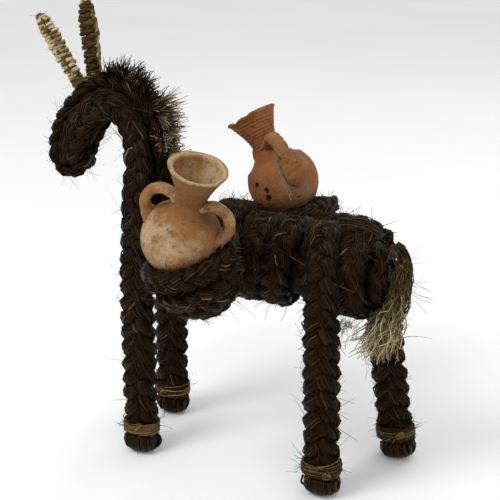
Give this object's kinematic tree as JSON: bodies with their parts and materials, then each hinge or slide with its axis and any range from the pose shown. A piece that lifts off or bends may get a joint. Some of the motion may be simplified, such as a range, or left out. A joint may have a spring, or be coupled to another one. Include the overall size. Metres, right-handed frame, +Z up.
{
  "type": "straw pack donkey with jugs",
  "caption": "Free-standing pack donkey plaited from dark straw rope, with light cord-wrapped ears, a straw tail and a pannier nest with a small two-handled clay jug on each side.",
  "frame": {"origin": "on the ground, under the middle of the whole object", "axes": "+Z up, the head points along -X, the near side with the lower jug is -Y"},
  "size_m": [0.2626, 0.1893, 0.3069],
  "materials": {
    "braid": "matte",
    "core_straw": "matte",
    "mane_straw": "matte",
    "tie_straw": "matte",
    "ear_cord": "matte",
    "tail_straw": "matte",
    "near_clay": "matte",
    "far_clay": "matte",
    "leg_wire": "satin",
    "thread": "gloss"
  },
  "bodies": {
    "root": {"body_core": "core_straw", "body_core_ties": "tie_straw", "body_wrap": "braid", "chest_coil": "braid", "rump_coil": "braid", "rump_braid": "braid", "near_foreleg": "ear_cord", "far_foreleg": "braid", "near_hindleg": "ear_cord", "far_hindleg": "braid", "near_foreleg_wire": "leg_wire", "far_foreleg_wire": "leg_wire", "near_hindleg_wire": "leg_wire", "far_hindleg_wire": "leg_wire", "near_fore_tie": "ear_cord", "far_fore_tie": "tie_straw", "near_hind_tie": "ear_cord", "far_hind_tie": "tie_straw", "neck_core": "core_straw", "head_core": "core_straw", "near_neck_braid": "ear_cord", "far_neck_braid": "braid", "crest_braid": "braid", "near_cheek_braid": "ear_cord", "far_cheek_braid": "braid", "face_braid": "braid", "mane": "mane_straw", "near_ear_core": "ear_cord", "near_ear_wrap": "ear_cord", "far_ear_core": "ear_cord", "far_ear_wrap": "ear_cord", "poll_lashing": "ear_cord", "saddle_strap": "braid", "near_nest_rim": "ear_cord", "near_nest_bowl": "ear_cord", "near_nest_packing": "ear_cord", "far_nest_rim": "braid", "far_nest_bowl": "braid", "far_nest_packing": "core_straw"},
    "near_jug": {"near_jug_pot": "near_clay", "near_jug_front_handle": "near_clay", "near_jug_rear_handle": "near_clay", "near_jug_thread": "thread"},
    "far_jug": {"far_jug_pot": "far_clay", "far_jug_inner_handle": "far_clay", "far_jug_outer_handle": "far_clay", "far_jug_thread": "thread"},
    "tail_knot": {"tail_knot": "tail_straw"},
    "tail": {"tail_binding": "tail_straw", "tail_tassel": "tail_straw"}
  },
  "joints": [
    {"name": "near_jug_lift", "type": "slide", "parent": "root", "child": "near_jug", "axis": [0, 0, 1], "range_m": [0, 0.08]},
    {"name": "far_jug_lift", "type": "slide", "parent": "root", "child": "far_jug", "axis": [0, 0, 1], "range_m": [0, 0.08]},
    {"name": "tail_sway", "type": "hinge", "parent": "root", "child": "tail_knot", "pos_m": [0.11875, -0.00085, 0.165], "axis": [1, 0, 0], "range_deg": [-18, 14]},
    {"name": "tail_lift", "type": "hinge", "parent": "tail_knot", "child": "tail", "pos_m": [0.11875, -0.00085, 0.165], "axis": [0, -1, 0], "range_deg": [0, 50]}
  ]
}
